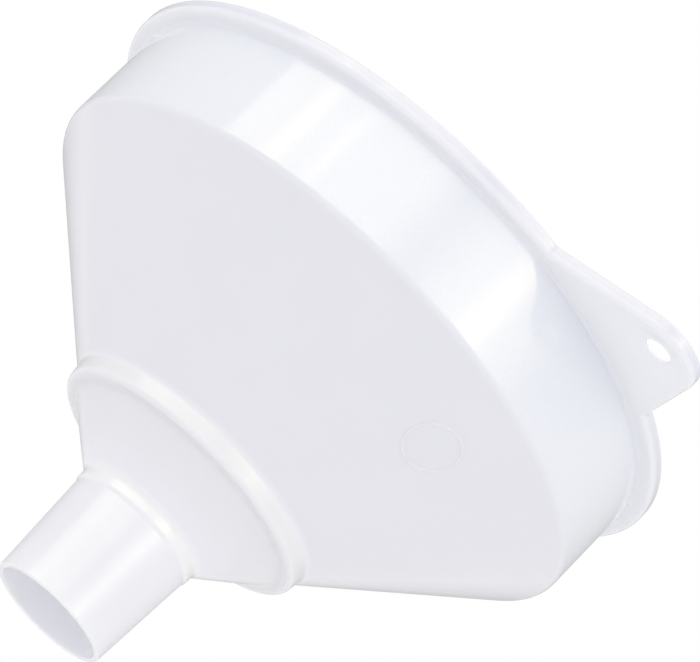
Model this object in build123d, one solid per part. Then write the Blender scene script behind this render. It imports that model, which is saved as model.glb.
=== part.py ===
from build123d import *
from math import cos, hypot, pi, radians, sin
import os

# Wide plastic filter funnel: one moulded body, a loose perforated plate and its edging seal.
# Millimetres, +Z up towards the mouth. The origin is the centre of the step ring's flat underside,
# the face that rests on a vessel's mouth. The hanging tab points along +X.

# Body wall
WALL = 2.0

# Stem: a slightly tapered tube with a low collar at its root and a straight bore at its open end
STEM_END_Z = -62.3
STEM_END_R = 22.4
STEM_TOP_Z = -23.2
STEM_TOP_R = 24.5
STEM_BORE_R = 20.4
STEM_BORE_LENGTH = 14.0
COLLAR_TOP_Z = -18.2
COLLAR_R = 25.2

# Step ring, between the lower and the upper cone
LOWER_CONE_TOP_R = 46.0
RING_LOW_R = 51.0
RING_TOP_R = 51.8
RING_TOP_Z = 7.0

# Upper cone and splash wall
SHOULDER_R = 113.8
SHOULDER_Z = 64.9
SPLASH_TOP_R = 114.1

# Size mark: a plain raised ring on the cone, under the tab
MARK_R = 10.0
MARK_WIDTH = 0.7
MARK_HEIGHT = 0.25
MARK_Z = 44.5

# Flange, with a raised lip that follows its whole outline
FLANGE_Z = 103.2
FLANGE_THICK = 2.2
FLANGE_ROOT_FILLET = 1.6
FLANGE_ROOT_R = 117.0
RIM_R = 120.0
LIP_TOP_Z = 108.2
LIP_WIDTH = 2.6
LIP_LOW_FILLET = 1.0
LIP_TOP_FILLET = 1.0

# Hanging tab, in the plane of the flange, with a dish round its hole
TAB_TIP_R = 16.9
TAB_TIP_X = 140.6
TAB_FLANK_ANGLE = 31.0
TAB_ROOT_FILLET = 3.0
HANG_HOLE_R = 5.0
HANG_HOLE_X = 143.2
DISH_R = 11.5
DISH_DEPTH = 1.3

# Perforated plate, edged by the seal; together they fill the pocket inside the step ring
PLATE_THICK = 3.2
PLATE_R = 47.4
HOLE_R = 1.25
HOLE_PITCH = 5.0
HOLE_RINGS = 8
SEAL_OUTER_R = 48.6
SEAL_INNER_R = 45.4
SEAL_LIP = 0.9
SEAT_GAP = 0.1


def unit_normal(start, end):
    """Unit normal on the left of the way from start to end."""
    dx = end[0] - start[0]
    dy = end[1] - start[1]
    length = hypot(dx, dy)
    return (-dy / length, dx / length)


def moved_in(before, corner, after, depth):
    """The corner of an outline after both of its sides move in, to the left, by depth."""
    a = unit_normal(before, corner)
    b = unit_normal(corner, after)
    scale = depth / (1 + a[0] * b[0] + a[1] * b[1])
    return (corner[0] + scale * (a[0] + b[0]), corner[1] + scale * (a[1] + b[1]))


def body_wall():
    """The wall of revolution, from the stem's open end to the root of the flange."""
    top_z = FLANGE_Z + FLANGE_THICK
    # outside corners with their rounding, upwards
    outside = [
        ((STEM_END_R, STEM_END_Z), 0.5),
        ((STEM_TOP_R, STEM_TOP_Z), 0.4),
        ((COLLAR_R - 0.1, STEM_TOP_Z + 0.6), 0.4),
        ((COLLAR_R, COLLAR_TOP_Z), 4.0),
        ((LOWER_CONE_TOP_R, 0), 1.2),
        ((RING_LOW_R, 0), 1.2),
        ((RING_TOP_R, RING_TOP_Z), 2.0),
        ((SHOULDER_R, SHOULDER_Z), 4.0),
        ((SPLASH_TOP_R, FLANGE_Z), FLANGE_ROOT_FILLET),
        ((FLANGE_ROOT_R, FLANGE_Z), 0),
        ((FLANGE_ROOT_R, top_z), 0),
    ]
    # inside corners, the same walls moved in; the collar is outside only
    smooth = [
        (STEM_END_R, STEM_END_Z),
        (COLLAR_R - 0.8, COLLAR_TOP_Z),
        (LOWER_CONE_TOP_R, 0),
        (RING_LOW_R, 0),
        (RING_TOP_R, RING_TOP_Z),
        (SHOULDER_R, SHOULDER_Z),
        (SPLASH_TOP_R, top_z),
    ]
    inside = [moved_in(*smooth[i - 1:i + 2], WALL) for i in range(1, len(smooth) - 1)]
    inside_fillets = [6.0, 0.6, 0.6, 1.0, 2.0]
    top_inside = (SPLASH_TOP_R - WALL, top_z)
    bore = [(STEM_BORE_R, STEM_END_Z + STEM_BORE_LENGTH), (STEM_BORE_R, STEM_END_Z)]
    corners = [p for p, r in outside] + [top_inside] + inside[::-1] + bore
    fillets = [r for p, r in outside] + [1.5] + inside_fillets[::-1] + [5.0, 0.5]
    section = FilletPolyline(*corners, radius=fillets, close=True)
    return revolve(Plane.XZ * make_face(section), Axis.Z)


def tab_outline():
    """The hanging tab in plan: two straight flanks that meet a round tip tangentially."""
    slope = radians(TAB_FLANK_ANGLE)
    tangent = (TAB_TIP_X + TAB_TIP_R * sin(slope), TAB_TIP_R * cos(slope))
    reach = (tangent[0] - 0.8 * RIM_R) / cos(slope)
    root = (tangent[0] - reach * cos(slope), tangent[1] + reach * sin(slope))
    flank = Line(root, tangent)
    tip = ThreePointArc(tangent, (TAB_TIP_X + TAB_TIP_R, 0), (tangent[0], -tangent[1]))
    other_flank = Line((tangent[0], -tangent[1]), (root[0], -root[1]))
    base = Line((root[0], -root[1]), root)
    return make_face([flank, tip, other_flank, base])


def flange_outline():
    """The flange in plan, filled: the round rim and the tab, with rounded roots."""
    outline = Circle(RIM_R) + tab_outline()
    roots = [v for v in outline.vertices() if abs(hypot(v.X, v.Y) - RIM_R) < 0.01]
    return fillet(roots, TAB_ROOT_FILLET)


def flange():
    """The flange outside its root, with its raised lip and the hanging tab."""
    outline = flange_outline()
    slab = extrude(Pos(0, 0, FLANGE_Z) * outline, LIP_TOP_Z - FLANGE_Z)
    slab = fillet(slab.faces().sort_by(Axis.Z)[0].edges(), LIP_LOW_FILLET)
    slab = fillet(slab.faces().sort_by(Axis.Z)[-1].edges(), LIP_TOP_FILLET)
    floor_z = FLANGE_Z + FLANGE_THICK
    pocket = extrude(Pos(0, 0, floor_z) * offset(outline, -LIP_WIDTH), LIP_TOP_Z - floor_z)
    slab -= pocket
    slab -= Pos(0, 0, FLANGE_Z) * Cylinder(FLANGE_ROOT_R, 20)
    hole = Pos(HANG_HOLE_X, 0, FLANGE_Z) * Cylinder(HANG_HOLE_R, 20)
    dish = Cone(DISH_R, HANG_HOLE_R, DISH_DEPTH, align=(Align.CENTER, Align.CENTER, Align.MIN))
    return slab - hole - Pos(HANG_HOLE_X, 0, FLANGE_Z) * dish


def size_mark():
    """A thin raised ring that lies on the cone."""
    slope = (SHOULDER_R - RING_TOP_R) / (SHOULDER_Z - RING_TOP_Z)
    centre = (RING_TOP_R + slope * (MARK_Z - RING_TOP_Z), 0, MARK_Z)
    out = Vector(1, 0, -slope).normalized()
    tube = Cylinder(MARK_R, 12) - Cylinder(MARK_R - MARK_WIDTH, 12)
    raised = hypot(1, slope) * MARK_HEIGHT
    sunk = hypot(1, slope) * WALL / 2
    shell = revolve(Plane.XZ * Polygon(
        (RING_TOP_R + raised, RING_TOP_Z), (SHOULDER_R + raised, SHOULDER_Z),
        (SHOULDER_R - sunk, SHOULDER_Z), (RING_TOP_R - sunk, RING_TOP_Z), align=None), Axis.Z)
    return shell & Plane(origin=centre, z_dir=out) * tube


def funnel_body():
    """The whole moulding in one solid: wall, flange, tab and size mark."""
    return body_wall() + flange() + size_mark()


def plate_holes():
    """Rings of holes in plan, six more on each ring than on the one inside it."""
    spots = [(0, 0)]
    for ring in range(1, HOLE_RINGS + 1):
        count = 6 * ring
        reach = ring * HOLE_PITCH
        turns = [2 * pi * i / count for i in range(count)]
        spots += [(reach * cos(turn), reach * sin(turn)) for turn in turns]
    return [Pos(x, y) * Circle(HOLE_R) for x, y in spots]


def plate_base_z():
    """Height of the plate's underside, on the seal's lower lip."""
    return WALL + SEAT_GAP + SEAL_LIP


def perforated_plate():
    """A flat disc with rings of holes."""
    disc = Circle(PLATE_R) - plate_holes()
    return extrude(Pos(0, 0, plate_base_z()) * disc, PLATE_THICK)


def plate_seal():
    """A soft ring of U section, open inwards, that grips the plate's edge."""
    low = WALL + SEAT_GAP
    high = plate_base_z() + PLATE_THICK + SEAL_LIP
    corner = (Align.MIN, Align.MIN)
    section = Pos(SEAL_INNER_R, low) * Rectangle(SEAL_OUTER_R - SEAL_INNER_R, high - low, align=corner)
    section = fillet(section.vertices().group_by(Axis.X)[-1], 1.0)
    section -= Pos(0, plate_base_z()) * Rectangle(PLATE_R, PLATE_THICK, align=corner)
    return revolve(Plane.XZ * section, Axis.Z)


os.makedirs("parts", exist_ok=True)
export_step(funnel_body(), "parts/funnel_body.step")
export_step(perforated_plate(), "parts/perforated_plate.step")
export_step(plate_seal(), "parts/plate_seal.step")
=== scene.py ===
from math import atan2, ceil, cos, hypot, pi, radians, sin, tan

import bmesh
import bpy
from mathutils import Matrix, Vector
from mathutils.geometry import delaunay_2d_cdt

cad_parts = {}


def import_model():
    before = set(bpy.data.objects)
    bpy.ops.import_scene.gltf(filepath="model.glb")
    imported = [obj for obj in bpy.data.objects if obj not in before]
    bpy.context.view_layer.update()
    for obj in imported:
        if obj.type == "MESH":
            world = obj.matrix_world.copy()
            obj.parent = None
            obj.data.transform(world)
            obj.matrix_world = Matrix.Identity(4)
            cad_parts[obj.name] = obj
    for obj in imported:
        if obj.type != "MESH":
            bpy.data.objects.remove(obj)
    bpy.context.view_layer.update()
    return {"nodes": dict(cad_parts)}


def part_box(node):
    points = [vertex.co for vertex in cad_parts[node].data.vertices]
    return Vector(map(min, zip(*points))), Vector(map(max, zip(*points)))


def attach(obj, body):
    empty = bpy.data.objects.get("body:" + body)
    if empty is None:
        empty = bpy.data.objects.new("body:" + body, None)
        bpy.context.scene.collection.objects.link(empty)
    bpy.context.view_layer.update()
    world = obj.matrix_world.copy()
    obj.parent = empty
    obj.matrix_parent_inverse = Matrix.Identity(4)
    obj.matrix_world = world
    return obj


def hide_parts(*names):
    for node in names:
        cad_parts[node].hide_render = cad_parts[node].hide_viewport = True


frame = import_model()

# The dimensions of the object are in millimetres, and a radius is round the funnel's axis
MM = 0.001
LOW, HIGH = (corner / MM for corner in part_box("funnel_body"))
X_AXIS, Y_AXIS = Vector((1, 0, 0)), Vector((0, 1, 0))

# Fineness of the meshes
FILLET_STEP = radians(10)
TIP_STEPS = 16
FLANK_STEPS = 16
ROOT_STEPS = 8
RIM_STEPS = 170
HOLE_STEPS = 64
MARK_STEPS = 96
SHARP_ANGLE = radians(32)
MERGE_GAP = 0.0001
PLAN_TOLERANCE = 0.000001
INSIDE_OUTER_RING = 1  # the kind of triangulation that leaves out what lies outside the outer ring

# Wall, from the stem's end up
WALL = 2.0
STEM_END_Z = LOW.z
STEM_END_R = 22.4
STEM_TOP_Z = -23.2
STEM_TOP_R = 24.5
STEM_BORE_R = 20.4
STEM_BORE_LENGTH = 14.0
COLLAR_FOOT_Z = -23.5
COLLAR_LOW_Z = -22.1
COLLAR_LOW_R = 25.1
COLLAR_TOP_Z = -18.2
COLLAR_TOP_R = 25.2
COLLAR_INSIDE_R = 24.4
LOWER_CONE_TOP_R = 46.0
RING_LOW_R = 51.0
RING_TOP_R = 51.8
RING_TOP_Z = 7.0
SHOULDER_R = 113.8
SHOULDER_Z = 64.9
SPLASH_TOP_R = 114.1
CONE_SLOPE = (SHOULDER_R - RING_TOP_R) / (SHOULDER_Z - RING_TOP_Z)
INSIDE_FILLETS = [6.0, 0.6, 0.6, 1.0, 2.0]

# Size mark on the cone: a ring in a round patch, which stands in a window of the cone's own mesh
MARK_R = 10.0
MARK_WIDTH = 0.7
MARK_HEIGHT = 0.25
MARK_DRAFT = 0.15
MARK_FILLET = 0.1
MARK_Z = 44.5
MARK_PATCH_R = 14.0
MARK_CENTRE_RADII = [7.0, 4.0, 1.5]
WINDOW_REACH = MARK_PATCH_R + 1.5
WINDOW_RISE = WINDOW_REACH / hypot(1, CONE_SLOPE)

# Flange, lip and hanging tab
FLANGE_Z = 103.2
FLANGE_THICK = 2.2
FLANGE_ROOT_R = 117.0
RIM_R = HIGH.y
LIP_TOP_Z = HIGH.z
LIP_WIDTH = 2.6
LIP_FILLET = 1.8
TAB_TIP_R = 16.9
TAB_TIP_X = HIGH.x - TAB_TIP_R
TAB_FLANK_ANGLE = radians(31.0)
TAB_ROOT_FILLET = 3.0
HANG_HOLE_R = 5.0
HANG_HOLE_X = 143.2
DISH_R = 11.5
DISH_DEPTH = 1.3

# White plastic: one plastic in tints by zone, which paint light and shade on it
BODY_TINT = (0.862, 0.863, 0.896)
# The cone's tint is darker: painted shade
CONE_SHADE_TINT = (0.818, 0.817, 0.852)
# The collar's tint is lighter: a painted highlight
COLLAR_HIGHLIGHT_TINT = (0.91, 0.91, 0.94)
# The ring's tint is lighter: a painted highlight on its band
RING_HIGHLIGHT_TINT = (0.895, 0.897, 0.95)
# The splash wall's tint is darker: painted shade
WALL_SHADE_TINT = (0.818, 0.831, 0.87)
# The flange's tint is lighter: painted light that comes through the thin flange and tab
FLANGE_LIT_TINT = (0.885, 0.888, 0.95)
# The lip's tint is darker: painted shade
LIP_SHADE_TINT = (0.8, 0.8, 0.85)

# Depths in metres: how far light spreads in the plastics, and the relief of each surface
GLOW_DEPTH = 0.002
FROST_DEPTH = 0.000012
PLATE_DEPTH = 0.00003
SEAL_DEPTH = 0.00005
FLOOR_DEPTH = 0.0002

# The tints between which the clouds in the other materials vary
PLATE_TINTS = [(0.87, 0.87, 0.9), (0.93, 0.93, 0.945)]
SEAL_TINTS = [(0.74, 0.75, 0.76), (0.84, 0.85, 0.86)]
FLOOR_TINTS = [(0.884, 0.884, 0.895), (0.9, 0.9, 0.911)]

# Camera: below the funnel, with the stem towards it, and rolled so that the funnel leans to the right
CAMERA_AZIMUTH = -32.4
CAMERA_ELEVATION = -20.95
CAMERA_ROLL = 45.1
CAMERA_DISTANCE = 1.245
CAMERA_LENS = 187.6
AIM_HEIGHT = 0.0826
AIM_RIGHT = 0.0044

# Studio, with places and sizes in metres
FLOOR_Z = -0.75
FLOOR_SIZE = 12
AMBIENT_FRONT = 1.12
AMBIENT_BEHIND = 0.86
BOWL_LIGHT_SIZE = 0.05
BOWL_LIGHT_RADIANCE = 1.15
BOWL_LIGHT_Z = -0.006

# What the gloss shows: a room that darkens behind the funnel, by the cosine of the turn from the camera,
# and above the floor, by the sine of the elevation
ROOM = 1.04
ROOM_BEHIND = 0.5
DARK_BEHIND = (0.3, -0.9)
DARK_ABOVE = (-0.25, 0.3)

# Softboxes, with their radiance at azimuths in degrees from the camera's
BOX_TINT = (1.0, 0.87, 0.58)
BOX_DISTANCE = 1.6
BOX_LOW = 0.12
BOX_HIGH = 1.1
LEFT_BOX = [
    (-75.5, 2.1), (-61, 2.1), (-56, 3.8), (-51, 2.1), (-44, 2.0), (-41, 3.4), (-37, 2.0),
    (-12, 1.8), (-2, 0.3), (0, 0.3),
]
RIGHT_BOX = [(4, 0.3), (22, 2.0), (33, 4.6), (40, 2.0), (62, 0.0), (75, 0.0)]


# ---------------------------------------------------------------- outlines

def rounded(corners):
    """The points of an outline of (x, y, radius) corners, with an arc at each corner that has a radius."""
    points = []
    for i, (x, y, radius) in enumerate(corners):
        here = Vector((x, y))
        if radius == 0:
            points.append(here)
            continue
        back = (Vector(corners[i - 1][:2]) - here).normalized()
        ahead = (Vector(corners[i + 1][:2]) - here).normalized()
        half = back.angle(ahead) / 2
        turn = pi - 2 * half
        side = 1 if back.x * ahead.y - back.y * ahead.x < 0 else -1
        centre = here + (back + ahead).normalized() * radius / sin(half)
        spoke = here + back * radius / tan(half) - centre
        count = max(2, ceil(turn / FILLET_STEP))
        points += [centre + Matrix.Rotation(side * turn * k / count, 2) @ spoke for k in range(count + 1)]
    return points


def moved_in(corners, depth):
    """The inner corners of an open outline after its sides move to the left by depth."""
    moved = []
    for before, corner, after in zip(corners, corners[1:], corners[2:]):
        a = (Vector(corner) - Vector(before)).normalized()
        b = (Vector(after) - Vector(corner)).normalized()
        a, b = Vector((-a.y, a.x)), Vector((-b.y, b.x))
        moved.append(Vector(corner) + (a + b) * depth / (1 + a.dot(b)))
    return moved


def cone_radius(z):
    """The radius of the cone's outside at a height."""
    return RING_TOP_R + CONE_SLOPE * (z - RING_TOP_Z)


def cone_corner(z):
    """A corner without rounding on the cone's outside."""
    return (cone_radius(z), z, 0)


def wall_profile():
    """Radius and height along the wall, from the flange's top over the inside to the flange's underside.

    A corner's last number is the radius of its fillet.
    """
    top_z = FLANGE_Z + FLANGE_THICK
    outside = [
        (STEM_END_R, STEM_END_Z),
        (COLLAR_INSIDE_R, COLLAR_TOP_Z),
        (LOWER_CONE_TOP_R, 0),
        (RING_LOW_R, 0),
        (RING_TOP_R, RING_TOP_Z),
        (SHOULDER_R, SHOULDER_Z),
        (SPLASH_TOP_R, top_z),
    ]
    inside = [(p.x, p.y, r) for p, r in zip(moved_in(outside, WALL), INSIDE_FILLETS)]
    return rounded([
        (FLANGE_ROOT_R, top_z, 0),
        (SPLASH_TOP_R - WALL, top_z, 1.5),
        *inside[::-1],
        (STEM_BORE_R, STEM_END_Z + STEM_BORE_LENGTH, 5.0),
        (STEM_BORE_R, STEM_END_Z, 0.5),
        (STEM_END_R, STEM_END_Z, 0.5),
        (STEM_TOP_R, COLLAR_FOOT_Z, 1.0),
        (COLLAR_LOW_R, COLLAR_LOW_Z, 1.0),
        (COLLAR_TOP_R, COLLAR_TOP_Z, 3.0),
        (LOWER_CONE_TOP_R, 0, 3.5),
        (RING_LOW_R, 0, 2.0),
        (RING_TOP_R, RING_TOP_Z, 2.5),
        cone_corner(MARK_Z - WINDOW_RISE),
        cone_corner(MARK_Z + WINDOW_RISE),
        (SHOULDER_R, SHOULDER_Z, 4.0),
        (SPLASH_TOP_R, FLANGE_Z, 1.6),
        (FLANGE_ROOT_R, FLANGE_Z, 0),
    ])


def arc(centre, radius, start, end, count):
    """Points on an arc, both ends included."""
    angles = [start + (end - start) * k / count for k in range(count + 1)]
    return [centre + radius * Vector((cos(a), sin(a))) for a in angles]


def half_rim():
    """Half of the flange's outline in plan, from the tab's tip on the X axis to the far side of the rim."""
    normal = Vector((sin(TAB_FLANK_ANGLE), cos(TAB_FLANK_ANGLE)))
    tip = Vector((TAB_TIP_X, 0))
    # The root fillet's centre lies one fillet radius outside both the flank and the rim
    off_axis = tip.dot(normal) + TAB_TIP_R + TAB_ROOT_FILLET
    reach = ((RIM_R + TAB_ROOT_FILLET) ** 2 - off_axis ** 2) ** 0.5
    root = off_axis * normal + reach * Vector((normal.y, -normal.x))
    start = atan2(normal.y, normal.x)
    points = arc(tip, TAB_TIP_R, 0, start, TIP_STEPS)
    foot = root - TAB_ROOT_FILLET * normal
    points += [points[-1].lerp(foot, k / FLANK_STEPS) for k in range(1, FLANK_STEPS)]
    rim_angle = atan2(root.y, root.x)
    points += arc(root, TAB_ROOT_FILLET, start - pi, rim_angle - pi, ROOT_STEPS)
    points += arc(Vector((0, 0)), RIM_R, rim_angle, pi, RIM_STEPS)[1:]
    return points


def rim_outline():
    """The flange's whole outline in plan with its outward normals."""
    half = half_rim()
    points = half + [Vector((p.x, -p.y)) for p in half[-2:0:-1]]
    normals = []
    for i, point in enumerate(points):
        along = points[(i + 1) % len(points)] - points[i - 1]
        normals.append(Vector((along.y, -along.x)).normalized())
    return list(zip(points, normals))


# ---------------------------------------------------------------- meshes

def skin(bm, rings):
    """Quads between rings of vertices, one ring to the next."""
    for one, other in zip(rings, rings[1:]):
        for i in range(len(one)):
            j = (i + 1) % len(one)
            bm.faces.new((one[i], one[j], other[j], other[i]))


def level_ring(bm, points, z):
    """A ring of vertices in a level plane."""
    return [bm.verts.new((p.x * MM, p.y * MM, z * MM)) for p in points]


def fill(bm, rings, across, along):
    """Triangles between an outer ring and round rings inside it, laid out on two axes of their plane."""
    verts = [vert for ring in rings for vert in ring]
    owner = [i for i, ring in enumerate(rings) for vert in ring]
    edges = []
    for ring in rings:
        first = len(edges)
        edges += [(first + i, first + (i + 1) % len(ring)) for i in range(len(ring))]
    flat = [Vector((vert.co.dot(across), vert.co.dot(along))) / MM for vert in verts]
    triangles, origins = delaunay_2d_cdt(flat, edges, [], INSIDE_OUTER_RING, PLAN_TOLERANCE)[2:4]
    for triangle in triangles:
        corners = [origins[i][0] for i in triangle]
        owners = {owner[i] for i in corners}
        if len(owners) > 1 or owners == {0}:
            bm.faces.new([verts[i] for i in corners])


def boundary_ring(edges):
    """The vertices along a closed run of edges, in order."""
    ring = [edges[0].verts[0], edges[0].verts[1]]
    left = set(edges[1:])
    while left:
        step = next(edge for edge in left if ring[-1] in edge.verts)
        left.remove(step)
        ring.append(step.other_vert(ring[-1]))
    return ring[:-1]


def piece(bm, name, body, finish, node):
    """Turns a mesh into a piece that stands for a CAD node."""
    bmesh.ops.remove_doubles(bm, verts=bm.verts, dist=MERGE_GAP * MM)
    bmesh.ops.recalc_face_normals(bm, faces=bm.faces)
    mesh = bpy.data.meshes.new(name)
    bm.to_mesh(mesh)
    bm.free()
    mesh.shade_smooth()
    mesh.set_sharp_from_angle(angle=SHARP_ANGLE)
    mesh.materials.append(finish)
    obj = bpy.data.objects.new(name, mesh)
    bpy.context.scene.collection.objects.link(obj)
    normals = obj.modifiers.new("weighted_normals", "WEIGHTED_NORMAL")
    normals.keep_sharp = True
    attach(obj, body)
    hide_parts(node)
    return obj


def add_wall(bm, outline):
    """The wall of revolution, with a spoke for each point of the rim's outline."""
    spokes = [p.normalized() for p, normal in outline]
    rings = [level_ring(bm, [spoke * r for spoke in spokes], z) for r, z in wall_profile()]
    skin(bm, rings)
    return rings[0], rings[-1]


def add_flange(bm, outline, top_ring, under_ring):
    """The flange outside its root: flat faces, the lip round the outline and the hole in the tab.

    The first and last corners of the lip's and the dish's sections only aim the fillets next to them.
    """
    floor_z = FLANGE_Z + FLANGE_THICK
    section = rounded([
        (LIP_WIDTH, FLANGE_Z, 0),
        (0, FLANGE_Z, LIP_FILLET),
        (0, LIP_TOP_Z, 1.0),
        (LIP_WIDTH, LIP_TOP_Z, 0.4),
        (LIP_WIDTH, floor_z, 0.3),
        (LIP_WIDTH + 1, floor_z, 0),
    ])[1:-1]
    rings = [level_ring(bm, [p - inset * normal for p, normal in outline], z) for inset, z in section]
    skin(bm, rings)
    dish = rounded([
        (DISH_R + 2, FLANGE_Z, 0),
        (DISH_R, FLANGE_Z, 3.0),
        (HANG_HOLE_R, FLANGE_Z + DISH_DEPTH, 0.3),
        (HANG_HOLE_R, floor_z, 0.2),
        (HANG_HOLE_R + 1, floor_z, 0),
    ])[1:-1]
    centre = Vector((HANG_HOLE_X, 0))
    hole = [level_ring(bm, arc(centre, r, 0, 2 * pi, HOLE_STEPS)[:-1], z) for r, z in dish]
    skin(bm, hole)
    fill(bm, [rings[0], under_ring, hole[0]], X_AXIS, Y_AXIS)
    fill(bm, [rings[-1], top_ring, hole[-1]], X_AXIS, Y_AXIS)


def add_size_mark(bm):
    """A plain raised ring in a round patch that takes the place of a piece of the cone."""
    out = Vector((1, 0, -CONE_SLOPE)).normalized()
    up = Vector((CONE_SLOPE, 0, 1)).normalized()
    centre = Vector((cone_radius(MARK_Z), 0, MARK_Z))
    half_turn = WINDOW_REACH / cone_radius(MARK_Z - WINDOW_RISE)
    window = []
    for face in bm.faces:
        middle = face.calc_center_median() / MM
        on_cone = abs(hypot(middle.x, middle.y) - cone_radius(middle.z)) < WALL / 4
        if on_cone and abs(middle.z - MARK_Z) < WINDOW_RISE and abs(atan2(middle.y, middle.x)) < half_turn:
            window.append(face)
    already_open = {edge for edge in bm.edges if edge.is_boundary}
    bmesh.ops.delete(bm, geom=window, context="FACES")
    window_edges = [edge for edge in bm.edges if edge.is_boundary and edge not in already_open]
    section = rounded([
        (MARK_PATCH_R, 0, 0),
        (MARK_R + MARK_DRAFT, 0, MARK_FILLET),
        (MARK_R, MARK_HEIGHT, MARK_FILLET),
        (MARK_R - MARK_WIDTH, MARK_HEIGHT, MARK_FILLET),
        (MARK_R - MARK_WIDTH - MARK_DRAFT, 0, MARK_FILLET),
        *[(radius, 0, 0) for radius in MARK_CENTRE_RADII],
    ])
    rings = []
    for radius, height in section:
        ring = []
        for spoke in arc(Vector((0, 0)), radius, 0, 2 * pi, MARK_STEPS)[:-1]:
            flat = centre + spoke.x * Y_AXIS + spoke.y * up
            gap = cone_radius(flat.z) - hypot(flat.x, flat.y)
            ring.append(bm.verts.new((flat + out * (gap * out.x + height)) * MM))
        rings.append(ring)
    skin(bm, rings)
    bm.faces.new(rings[-1])
    fill(bm, [boundary_ring(window_edges), rings[0]], Y_AXIS, up)


def funnel_body(finish):
    """The whole moulding."""
    bm = bmesh.new()
    outline = rim_outline()
    top_ring, under_ring = add_wall(bm, outline)
    add_flange(bm, outline, top_ring, under_ring)
    add_size_mark(bm)
    return piece(bm, "funnel_moulding", "funnel", finish, "funnel_body")


# ---------------------------------------------------------------- nodes

def noise(tree, place, scale, detail):
    """A noise value over the object, with its scale in cells per metre."""
    cells = tree.nodes.new("ShaderNodeTexNoise")
    cells.inputs["Scale"].default_value = scale
    cells.inputs["Detail"].default_value = detail
    tree.links.new(place, cells.inputs["Vector"])
    return cells.outputs["Fac"]


def spread(tree, value, low, high, start=0, stop=1, smooth=False):
    """A value between start and stop moved to between low and high."""
    scaled = tree.nodes.new("ShaderNodeMapRange")
    scaled.interpolation_type = "SMOOTHSTEP" if smooth else "LINEAR"
    scaled.inputs["From Min"].default_value = start
    scaled.inputs["From Max"].default_value = stop
    scaled.inputs["To Min"].default_value = low
    scaled.inputs["To Max"].default_value = high
    tree.links.new(value, scaled.inputs["Value"])
    return scaled.outputs["Result"]


def coordinate(tree, vector, axis):
    """One coordinate of a vector."""
    split = tree.nodes.new("ShaderNodeSeparateXYZ")
    tree.links.new(vector, split.inputs[0])
    return split.outputs[axis]


def multiply(tree, one, other):
    """The product of two values or colours."""
    product = tree.nodes.new("ShaderNodeVectorMath")
    product.operation = "MULTIPLY"
    tree.links.new(one, product.inputs[0])
    tree.links.new(other, product.inputs[1])
    return product.outputs["Vector"]


def set_stops(points, stops):
    """Fills a new ramp's points from stops of position and colour, in order."""
    points[0].color = (*stops[0][1], 1)
    points[1].color = (*stops[-1][1], 1)
    for position, colour in stops:
        points.new(position).color = (*colour, 1)


def grey(level):
    """A level as a colour."""
    return (level, level, level)


def by_height(tree, height, stops):
    """A colour in stops of height in millimetres, along the share of the funnel's own height."""
    ramp = tree.nodes.new("ShaderNodeValToRGB")
    set_stops(ramp.color_ramp.elements, [
        ((z - STEM_END_Z) / (LIP_TOP_Z - STEM_END_Z), colour) for z, colour in stops])
    tree.links.new(height, ramp.inputs[0])
    return ramp.outputs["Color"]


def clouded(tree, shader, clouds, one, other):
    """A shader's colour, between two tints by a value."""
    tint = tree.nodes.new("ShaderNodeMix")
    tint.data_type = "RGBA"
    tint.inputs["A"].default_value = (*one, 1)
    tint.inputs["B"].default_value = (*other, 1)
    tree.links.new(clouds, tint.inputs["Factor"])
    tree.links.new(tint.outputs["Result"], shader.inputs["Base Color"])


def bump(tree, shader, height, distance):
    """Fine relief on a shader, with its depth in metres."""
    relief = tree.nodes.new("ShaderNodeBump")
    relief.inputs["Strength"].default_value = 1.0
    relief.inputs["Distance"].default_value = distance
    tree.links.new(height, relief.inputs["Height"])
    tree.links.new(relief.outputs["Normal"], shader.inputs["Normal"])


def material(name):
    """A new material with its node tree, its shader and a place on the object."""
    m = bpy.data.materials.new(name)
    m.use_nodes = True
    place = m.node_tree.nodes.new("ShaderNodeTexCoord").outputs["Object"]
    return m, m.node_tree, m.node_tree.nodes["Principled BSDF"], place


# ---------------------------------------------------------------- studio

def turned(degrees_from_camera, elevation):
    """A unit vector at an azimuth counted from the camera's own, and an elevation."""
    az, el = radians(CAMERA_AZIMUTH + degrees_from_camera), radians(elevation)
    return Vector((cos(az) * cos(el), sin(az) * cos(el), sin(el)))


def camera():
    """A long lens that looks up at the funnel from the stem's end."""
    towards = turned(0, CAMERA_ELEVATION)
    right = Vector((0, 0, 1)).cross(towards).normalized()
    up = towards.cross(right)
    aim = Vector((0, 0, AIM_HEIGHT)) + AIM_RIGHT * right
    roll = Matrix.Rotation(radians(CAMERA_ROLL), 3, towards)
    turn = Matrix((roll @ right, roll @ up, towards)).transposed()
    data = bpy.data.cameras.new("camera")
    data.lens = CAMERA_LENS
    data.clip_start, data.clip_end = 0.05, 50.0
    eye = bpy.data.objects.new("camera", data)
    eye.matrix_world = Matrix.Translation(aim + CAMERA_DISTANCE * towards) @ turn.to_4x4()
    bpy.context.scene.collection.objects.link(eye)
    bpy.context.scene.camera = eye


def white_light(tree, strength):
    """A white background whose strength is a value."""
    light = tree.nodes.new("ShaderNodeBackground")
    light.inputs["Color"].default_value = (1, 1, 1, 1)
    tree.links.new(strength, light.inputs["Strength"])
    return light.outputs["Background"]


def either(tree, choice, no, yes):
    """One shader where a choice is 0 and the other where it is 1."""
    mix = tree.nodes.new("ShaderNodeMixShader")
    tree.links.new(choice, mix.inputs[0])
    tree.links.new(no, mix.inputs[1])
    tree.links.new(yes, mix.inputs[2])
    return mix.outputs["Shader"]


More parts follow.
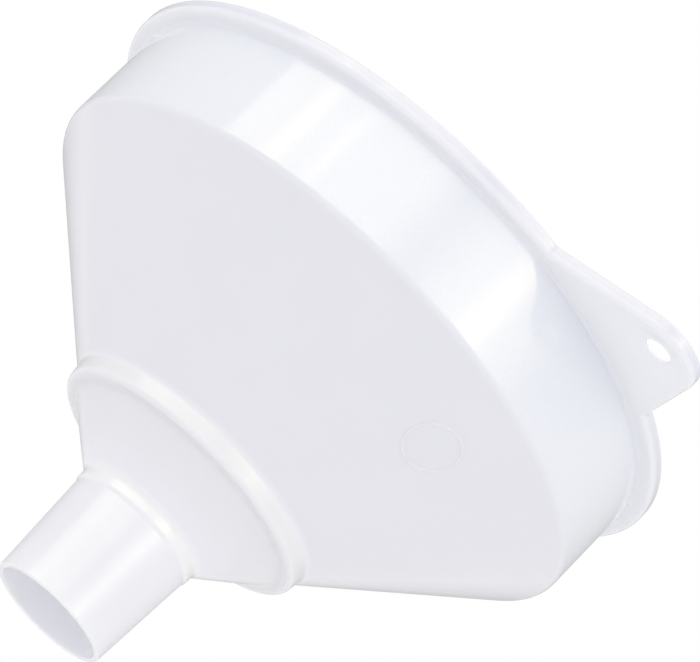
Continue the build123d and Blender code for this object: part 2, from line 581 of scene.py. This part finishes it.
def world():
    """White for the camera, soft light that is stronger from the front, and the room in the gloss."""
    studio = bpy.data.worlds.new("studio")
    studio.use_nodes = True
    tree = studio.node_tree
    backdrop = tree.nodes["Background"]
    backdrop.inputs["Color"].default_value = (1, 1, 1, 1)
    direction = tree.nodes.new("ShaderNodeTexCoord").outputs["Generated"]
    ahead = tree.nodes.new("ShaderNodeVectorMath")
    ahead.operation = "DOT_PRODUCT"
    ahead.inputs[1].default_value = turned(0, 0)
    tree.links.new(direction, ahead.inputs[0])
    front = ahead.outputs["Value"]
    behind = spread(tree, front, 0, 1, *DARK_BEHIND, smooth=True)
    above = spread(tree, coordinate(tree, direction, "Z"), 0, 1, *DARK_ABOVE, smooth=True)
    ambient = white_light(tree, spread(tree, front, AMBIENT_BEHIND, AMBIENT_FRONT, start=-1))
    room = white_light(tree, spread(tree, multiply(tree, behind, above), ROOM, ROOM_BEHIND))
    path = tree.nodes.new("ShaderNodeLightPath")
    unseen = either(tree, path.outputs["Is Glossy Ray"], ambient, room)
    seen = either(tree, path.outputs["Is Camera Ray"], unseen, backdrop.outputs["Background"])
    tree.links.new(seen, tree.nodes["World Output"].inputs["Surface"])
    bpy.context.scene.world = studio


def softbox(name, stops):
    """An upright soft light that shows only in the gloss, with its radiance in stops of azimuth."""
    left, right = stops[0][0], stops[-1][0]
    middle = (left + right) / 2
    half_width = BOX_DISTANCE * tan(radians(right - left) / 2)
    brightest = max(radiance for azimuth, radiance in stops)
    data = bpy.data.lights.new(name, "AREA")
    data.shape = "RECTANGLE"
    data.size, data.size_y = 2 * half_width, BOX_HIGH - BOX_LOW
    data.energy = data.size * data.size_y * pi
    data.use_nodes = True
    tree = data.node_tree
    ramp = tree.nodes.new("ShaderNodeValToRGB")
    ramp.color_ramp.interpolation = "EASE"
    set_stops(ramp.color_ramp.elements, [
        (0.5 + BOX_DISTANCE * tan(radians(azimuth - middle)) / (2 * half_width),
         [radiance / brightest * tint for tint in BOX_TINT])
        for azimuth, radiance in stops])
    across = tree.nodes.new("ShaderNodeNewGeometry").outputs["Parametric"]
    tree.links.new(coordinate(tree, across, "X"), ramp.inputs[0])
    tree.links.new(ramp.outputs[0], tree.nodes["Emission"].inputs["Color"])
    tree.nodes["Emission"].inputs["Strength"].default_value = brightest
    lamp = bpy.data.objects.new(name, data)
    towards = turned(middle, 0)
    lamp.location = BOX_DISTANCE * towards + Vector((0, 0, (BOX_LOW + BOX_HIGH) / 2))
    lamp.rotation_euler = towards.to_track_quat("Z", "Y").to_euler()
    lamp.visible_camera = False
    lamp.visible_diffuse = False
    bpy.context.scene.collection.objects.link(lamp)


def daylight_in_bowl():
    """A hidden soft disc under the plate, which moves with it and makes up for the daylight it holds back."""
    data = bpy.data.lights.new("daylight_in_bowl", "AREA")
    data.shape = "DISK"
    data.size = BOWL_LIGHT_SIZE
    data.energy = BOWL_LIGHT_RADIANCE * (pi * data.size / 2) ** 2
    lamp = bpy.data.objects.new("daylight_in_bowl", data)
    lamp.location = (0, 0, BOWL_LIGHT_Z)
    lamp.visible_camera = False
    lamp.visible_glossy = False
    bpy.context.scene.collection.objects.link(lamp)
    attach(lamp, "sieve")


def floor():
    """A pale, faintly clouded matt floor, low enough to stay out of the picture."""
    bpy.ops.mesh.primitive_plane_add(size=FLOOR_SIZE, location=(0, 0, FLOOR_Z))
    plane = bpy.context.object
    plane.name = "floor"
    m, tree, shader, place = material("floor")
    clouded(tree, shader, noise(tree, place, scale=1.5, detail=3), *FLOOR_TINTS)
    wear = noise(tree, place, scale=12, detail=3)
    tree.links.new(spread(tree, wear, 0.5, 0.7), shader.inputs["Roughness"])
    bump(tree, shader, noise(tree, place, scale=400, detail=2), FLOOR_DEPTH)
    plane.data.materials.append(m)


# ---------------------------------------------------------------- plastics

def plastic(name):
    """A material of a slightly translucent plastic, with what material() gives."""
    m, tree, shader, place = material(name)
    shader.inputs["IOR"].default_value = 1.5
    shader.inputs["Subsurface Weight"].default_value = 1.0
    shader.inputs["Subsurface Radius"].default_value = (1.0, 1.0, 1.0)
    shader.inputs["Subsurface Scale"].default_value = GLOW_DEPTH
    return m, tree, shader, place


def white_plastic():
    """The moulding's plastic: polished, with a finely frosted splash wall, and with light and shade painted
    into its tints by height.
    """
    m, tree, shader, place = plastic("white_plastic")
    height = spread(tree, coordinate(tree, place, "Z"), 0, 1, STEM_END_Z * MM, LIP_TOP_Z * MM)
    # Tints by height that paint light and shade: lighter on the collar and the ring (painted highlights) and
    # on the flange (painted light), darker on the cone, the splash wall and the lip (painted shade)
    tone_and_painted_light = by_height(tree, height, [
        (STEM_TOP_Z - 1, BODY_TINT),
        (STEM_TOP_Z + 1, COLLAR_HIGHLIGHT_TINT),
        (COLLAR_TOP_Z, COLLAR_HIGHLIGHT_TINT),
        (COLLAR_TOP_Z + 2, BODY_TINT),
        (0.5, BODY_TINT),
        (1.5, RING_HIGHLIGHT_TINT),
        (RING_TOP_Z - 0.5, RING_HIGHLIGHT_TINT),
        (RING_TOP_Z + 1.5, CONE_SHADE_TINT),
        (SHOULDER_Z - 2, CONE_SHADE_TINT),
        (SHOULDER_Z + 3, WALL_SHADE_TINT),
        (FLANGE_Z - 1.4, WALL_SHADE_TINT),
        (FLANGE_Z - 0.7, FLANGE_LIT_TINT),
        (FLANGE_Z + 0.4, FLANGE_LIT_TINT),
        (FLANGE_Z + 2.4, LIP_SHADE_TINT),
    ])
    frost = by_height(tree, height, [
        (SHOULDER_Z - 1, grey(0)),
        (SHOULDER_Z + 2, grey(1)),
        (FLANGE_Z - 2, grey(1)),
        (FLANGE_Z - 1, grey(0)),
    ])
    finish = by_height(tree, height, [
        (STEM_TOP_Z - 1, grey(0.2)),
        (STEM_TOP_Z + 1, grey(0.1)),
        (COLLAR_TOP_Z, grey(0.1)),
        (0, grey(0.16)),
        (RING_TOP_Z, grey(0.16)),
        (RING_TOP_Z + 4, grey(0.1)),
    ])
    frosting = multiply(tree, frost, noise(tree, place, scale=900, detail=2))
    mottle = spread(tree, noise(tree, place, scale=30, detail=3), 0.985, 1.015)
    speckle = spread(tree, frosting, 1.0, 1.05)
    smears = spread(tree, noise(tree, place, scale=60, detail=2), 0.75, 1.25)
    tree.links.new(multiply(tree, multiply(tree, tone_and_painted_light, mottle), speckle), shader.inputs["Base Color"])
    tree.links.new(multiply(tree, finish, smears), shader.inputs["Roughness"])
    bump(tree, shader, frosting, FROST_DEPTH)
    return m


def plate_plastic():
    """The plate's plastic: the same white, faintly clouded and satin."""
    m, tree, shader, place = plastic("plate_plastic")
    clouded(tree, shader, noise(tree, place, scale=60, detail=4), *PLATE_TINTS)
    wear = noise(tree, place, scale=700, detail=2)
    tree.links.new(spread(tree, wear, 0.24, 0.4), shader.inputs["Roughness"])
    bump(tree, shader, noise(tree, place, scale=1100, detail=2), PLATE_DEPTH)
    return m


def seal_rubber():
    """The seal's rubber: milky silicone, matt and slightly cloudy."""
    m, tree, shader, place = plastic("seal_rubber")
    clouded(tree, shader, noise(tree, place, scale=120, detail=4), *SEAL_TINTS)
    wear = noise(tree, place, scale=500, detail=2)
    tree.links.new(spread(tree, wear, 0.42, 0.6), shader.inputs["Roughness"])
    bump(tree, shader, noise(tree, place, scale=600, detail=3), SEAL_DEPTH)
    return m


def recolour(node, finish):
    """Gives a CAD node its material."""
    mesh = frame["nodes"][node].data
    mesh.materials.clear()
    mesh.materials.append(finish)


camera()
world()
softbox("softbox_left", LEFT_BOX)
softbox("softbox_right", RIGHT_BOX)
daylight_in_bowl()
floor()
bpy.context.scene.view_settings.view_transform = "Standard"
moulding = funnel_body(white_plastic())
recolour("perforated_plate", plate_plastic())
recolour("plate_seal", seal_rubber())
